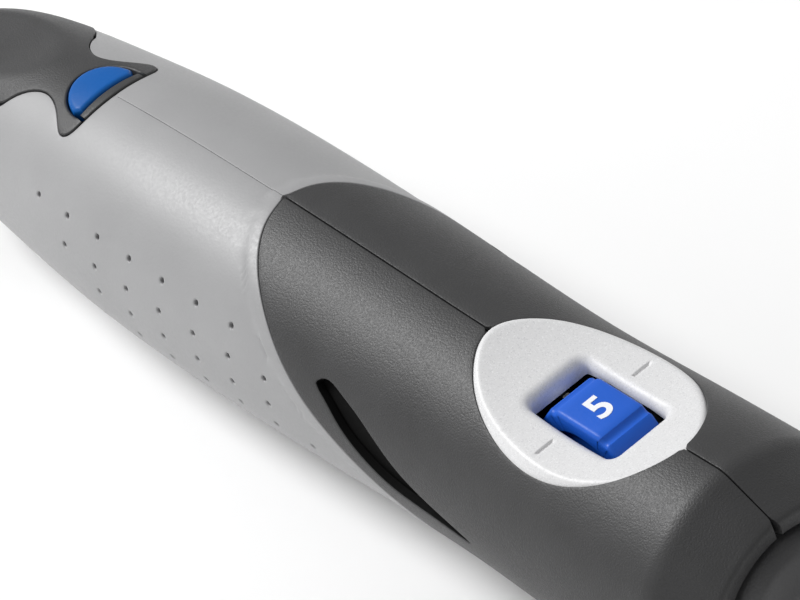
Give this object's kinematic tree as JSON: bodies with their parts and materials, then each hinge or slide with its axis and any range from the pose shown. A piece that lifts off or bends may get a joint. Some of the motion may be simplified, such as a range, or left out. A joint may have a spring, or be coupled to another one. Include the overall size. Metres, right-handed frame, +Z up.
{
  "type": "rotary hobby tool",
  "caption": "Pen-style rotary hobby tool with a split silver shell, dark grips, thumbwheel speed dial, shaft-lock button and collet nose.",
  "frame": {"origin": "centre of the footprint of the bounding box, on the flat of the belly that the tool rests on", "axes": "+X along the spindle towards the collet, +Y to the left, +Z up through the speed dial and the lock button"},
  "size_m": [0.1968, 0.034, 0.0331],
  "materials": {
    "silver_shell": "satin moulded, light silver grey",
    "dark_grip": "matt fine-grained overmould, dark grey",
    "bezel_plastic": "fine sparkle texture, light grey",
    "dial_plastic": "satin blue",
    "number_ink": "white inlay",
    "button_plastic": "satin blue",
    "tail_plastic": "fine-grained dark grey",
    "nose_plastic": "satin light grey",
    "black_plastic": "moulded",
    "board_laminate": "solder-masked laminate",
    "brass": "plain",
    "bronze": "sintered bearing bronze",
    "copper_wire": "enamelled winding wire",
    "plated_steel": "zinc plated",
    "ground_steel": "ground",
    "lamination_steel": "stacked laminations",
    "spring_steel": "drawn wire",
    "magnet": "sintered ferrite",
    "soft_rubber": "matt",
    "sleeve_aluminium": "turned",
    "carbon": "carbon brush"
  },
  "bodies": {
    "housing": {"housing_left": "silver_shell", "housing_right": "silver_shell", "rear_grip_left": "dark_grip", "rear_grip_right": "dark_grip", "front_grip_left": "dark_grip", "front_grip_right": "dark_grip", "tail_cap": "tail_plastic", "dc_jack": "black_plastic", "dc_jack_pin": "brass", "dial_bezel": "bezel_plastic", "dial_bracket": "black_plastic", "speed_potentiometer": "black_plastic", "control_board": "board_laminate", "board_components": "black_plastic", "power_leads": "soft_rubber", "motor_can": "plated_steel", "motor_end_bell": "black_plastic", "motor_magnets": "magnet", "motor_mounts": "soft_rubber", "brushes": "carbon", "brush_springs": "spring_steel", "rear_motor_bushing": "bronze", "front_motor_bushing": "bronze", "rear_bearing_outer": "ground_steel", "front_bearing_outer": "ground_steel", "bearing_retainer": "plated_steel", "nose_sleeve": "sleeve_aluminium", "dust_seal": "soft_rubber", "nose_ring": "nose_plastic", "pin_guide": "plated_steel", "lock_spring": "spring_steel", "housing_screws": "plated_steel"},
    "spindle": {"spindle": "ground_steel", "motor_shaft": "ground_steel", "armature_core": "lamination_steel", "armature_windings": "copper_wire", "commutator": "brass", "cooling_fan": "black_plastic", "motor_coupling": "plated_steel", "coupling_spider": "soft_rubber", "spindle_coupling": "plated_steel", "rear_bearing_inner": "ground_steel", "front_bearing_inner": "ground_steel"},
    "bearing_balls": {"rear_bearing_balls": "ground_steel", "front_bearing_balls": "ground_steel"},
    "collet": {"collet": "ground_steel"},
    "collet_nut": {"collet_nut": "plated_steel"},
    "lock_button": {"lock_button": "button_plastic", "lock_pin": "ground_steel"},
    "speed_dial": {"speed_dial": "dial_plastic", "dial_numbers": "number_ink", "dial_axle": "plated_steel"}
  },
  "joints": [
    {"name": "spindle_spin", "type": "hinge", "parent": "housing", "child": "spindle", "pos_m": [0.0318, 0, 0.01615], "axis": [1, 0, 0], "continuous": true},
    {"name": "bearing_roll", "type": "hinge", "parent": "housing", "child": "bearing_balls", "pos_m": [0.0398, 0, 0.01615], "axis": [1, 0, 0], "continuous": true},
    {"name": "collet_release", "type": "slide", "parent": "spindle", "child": "collet", "axis": [1, 0, 0], "range_m": [0, 0.0015]},
    {"name": "nut_turn", "type": "hinge", "parent": "collet", "child": "collet_nut", "pos_m": [0.0878, 0, 0.01615], "axis": [1, 0, 0], "range_deg": [0, 722]},
    {"name": "lock_press", "type": "slide", "parent": "housing", "child": "lock_button", "axis": [0, 0, -1], "range_m": [0, 0.002], "stiffness_N_per_m": 900, "springref_m": -0.0008, "deforming": ["lock_spring"]},
    {"name": "dial_turn", "type": "hinge", "parent": "housing", "child": "speed_dial", "pos_m": [-0.0645, 0, 0.02045], "axis": [0, 1, 0], "range_deg": [-51.4, 205.7]}
  ],
  "couplings": [
    {"joint": "bearing_roll", "follows": "spindle_spin", "ratio": 0.4},
    {"joint": "nut_turn", "follows": "collet_release", "rad_per_m": 8377.6}
  ]
}
